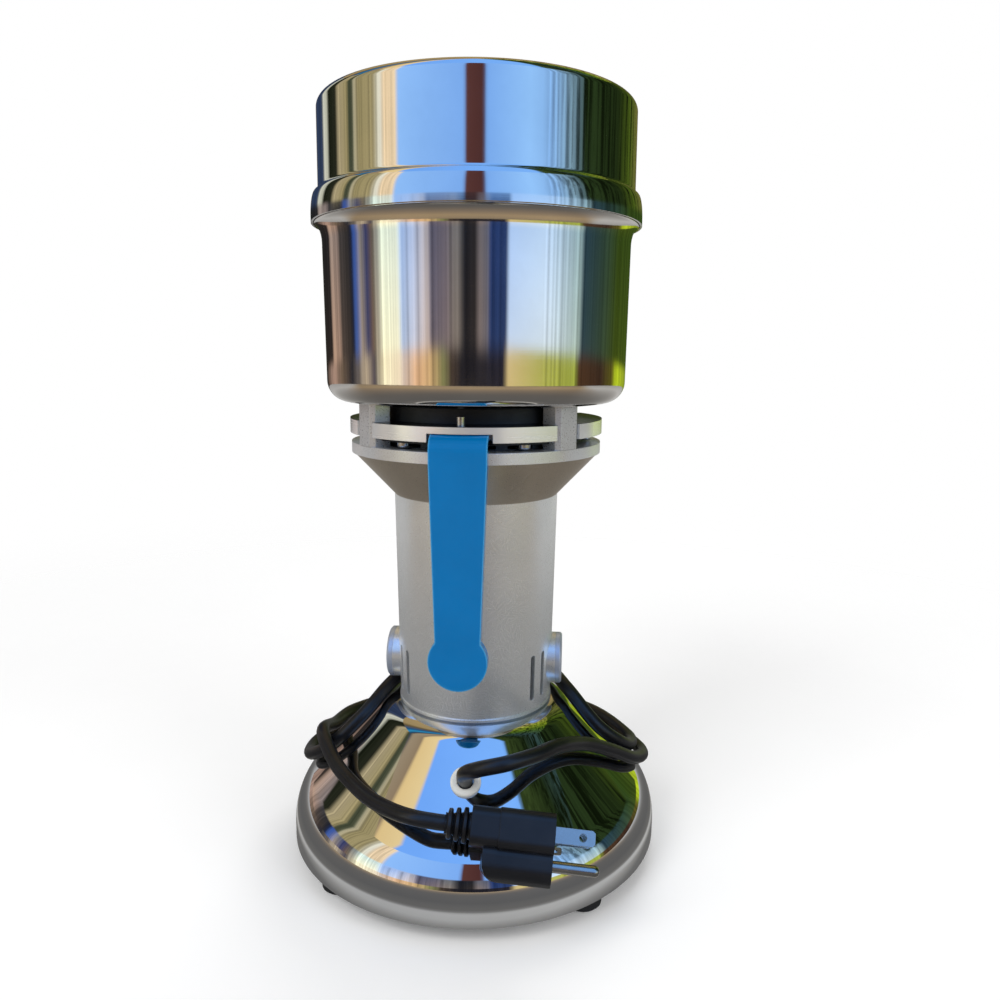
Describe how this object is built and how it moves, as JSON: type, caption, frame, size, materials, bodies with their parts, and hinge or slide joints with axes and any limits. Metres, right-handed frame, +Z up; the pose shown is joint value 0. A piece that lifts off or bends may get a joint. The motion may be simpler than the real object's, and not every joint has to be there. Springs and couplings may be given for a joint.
{
  "type": "grain_mill",
  "caption": "Upright electric grain mill: steel bowl and lift-off lid on posts over a cast motor housing with a strap handle, domed base, mains lead and plug",
  "frame": {"origin": "centre of the base on the table", "axes": "+Z up, -Y front with the handle, +X right"},
  "size_m": [0.1863, 0.1974, 0.3649],
  "materials": {
    "mirror_steel": "polished",
    "plate_steel": "brushed",
    "black_rubber": "matte",
    "screw_steel": "polished",
    "white_nylon": "satin",
    "cord_rubber": "satin",
    "plated_pins": "polished",
    "cast_housing": "satin",
    "machined_aluminium": "satin",
    "bearing_steel": "polished",
    "stator_laminations": "matte",
    "copper_winding": "gloss",
    "holder_brass": "satin",
    "carbon": "matte",
    "spring_steel": "polished",
    "cap_aluminium": "satin",
    "dark_steel": "satin",
    "blue_coating": "gloss",
    "post_aluminium": "satin",
    "bowl_steel": "polished",
    "black_moulding": "matte",
    "red_rocker": "gloss",
    "dial_aluminium": "brushed",
    "commutator_copper": "satin",
    "fan_plastic": "matte",
    "blade_steel": "polished",
    "lid_steel": "polished",
    "white_silicone": "matte"
  },
  "bodies": {
    "mill_body": {"base_dome": "mirror_steel", "bottom_plate": "plate_steel", "rubber_feet": "black_rubber", "foot_screws": "screw_steel", "cord_grommet": "white_nylon", "power_cord": "cord_rubber", "plug_relief": "cord_rubber", "plug_body": "cord_rubber", "plug_blades": "plated_pins", "plug_ground_pin": "plated_pins", "motor_housing": "cast_housing", "housing_bolts": "screw_steel", "lower_bracket": "machined_aluminium", "lower_bearing": "bearing_steel", "stator_core": "stator_laminations", "field_coils": "copper_winding", "brush_holders": "holder_brass", "carbon_brushes": "carbon", "brush_springs": "spring_steel", "brush_caps": "cap_aluminium", "air_guide": "dark_steel", "bearing_plate": "machined_aluminium", "upper_bearing": "bearing_steel", "plate_screws": "screw_steel", "handle": "blue_coating", "handle_screw": "screw_steel", "support_posts": "post_aluminium", "bowl_seat": "dark_steel", "seal_hub": "machined_aluminium", "shaft_seal": "black_rubber", "bowl": "bowl_steel", "bowl_screws": "screw_steel", "switch_box": "black_moulding", "switch_box_screws": "screw_steel", "switch_bezel": "black_moulding", "timer_movement": "black_moulding", "timer_dial": "dial_aluminium", "overload_breaker": "black_moulding", "reset_nut": "screw_steel"},
    "rotor": {"motor_shaft": "bearing_steel", "armature_core": "stator_laminations", "armature_winding": "copper_winding", "commutator": "commutator_copper", "cooling_fan": "fan_plastic", "low_blade": "blade_steel", "middle_blade": "blade_steel", "top_blade": "blade_steel", "blade_spacers": "blade_steel", "blade_nut": "screw_steel"},
    "lid": {"lid_shell": "lid_steel", "lid_ring": "machined_aluminium", "lid_seal": "white_silicone"},
    "rocker": {"switch_rocker": "red_rocker"},
    "knob": {"timer_knob": "black_moulding"},
    "button": {"reset_button": "red_rocker"}
  },
  "joints": [
    {"name": "rotor_spin", "type": "hinge", "parent": "mill_body", "child": "rotor", "pos_m": [0, 0, 0.2], "axis": [0, 0, 1], "continuous": true},
    {"name": "lid_lift", "type": "slide", "parent": "mill_body", "child": "lid", "axis": [0, 0, 1], "range_m": [0, 0.12]},
    {"name": "rocker_tilt", "type": "hinge", "parent": "mill_body", "child": "rocker", "pos_m": [-0.0075, 0.0586, 0.163], "axis": [1, 0, 0], "range_deg": [0, 20]},
    {"name": "timer_turn", "type": "hinge", "parent": "mill_body", "child": "knob", "pos_m": [0, 0.0598, 0.135], "axis": [0, 1, 0], "range_deg": [0, 300]},
    {"name": "reset_press", "type": "slide", "parent": "mill_body", "child": "button", "axis": [0, -1, 0], "range_m": [0, 0.003], "stiffness_N_per_m": 300}
  ]
}
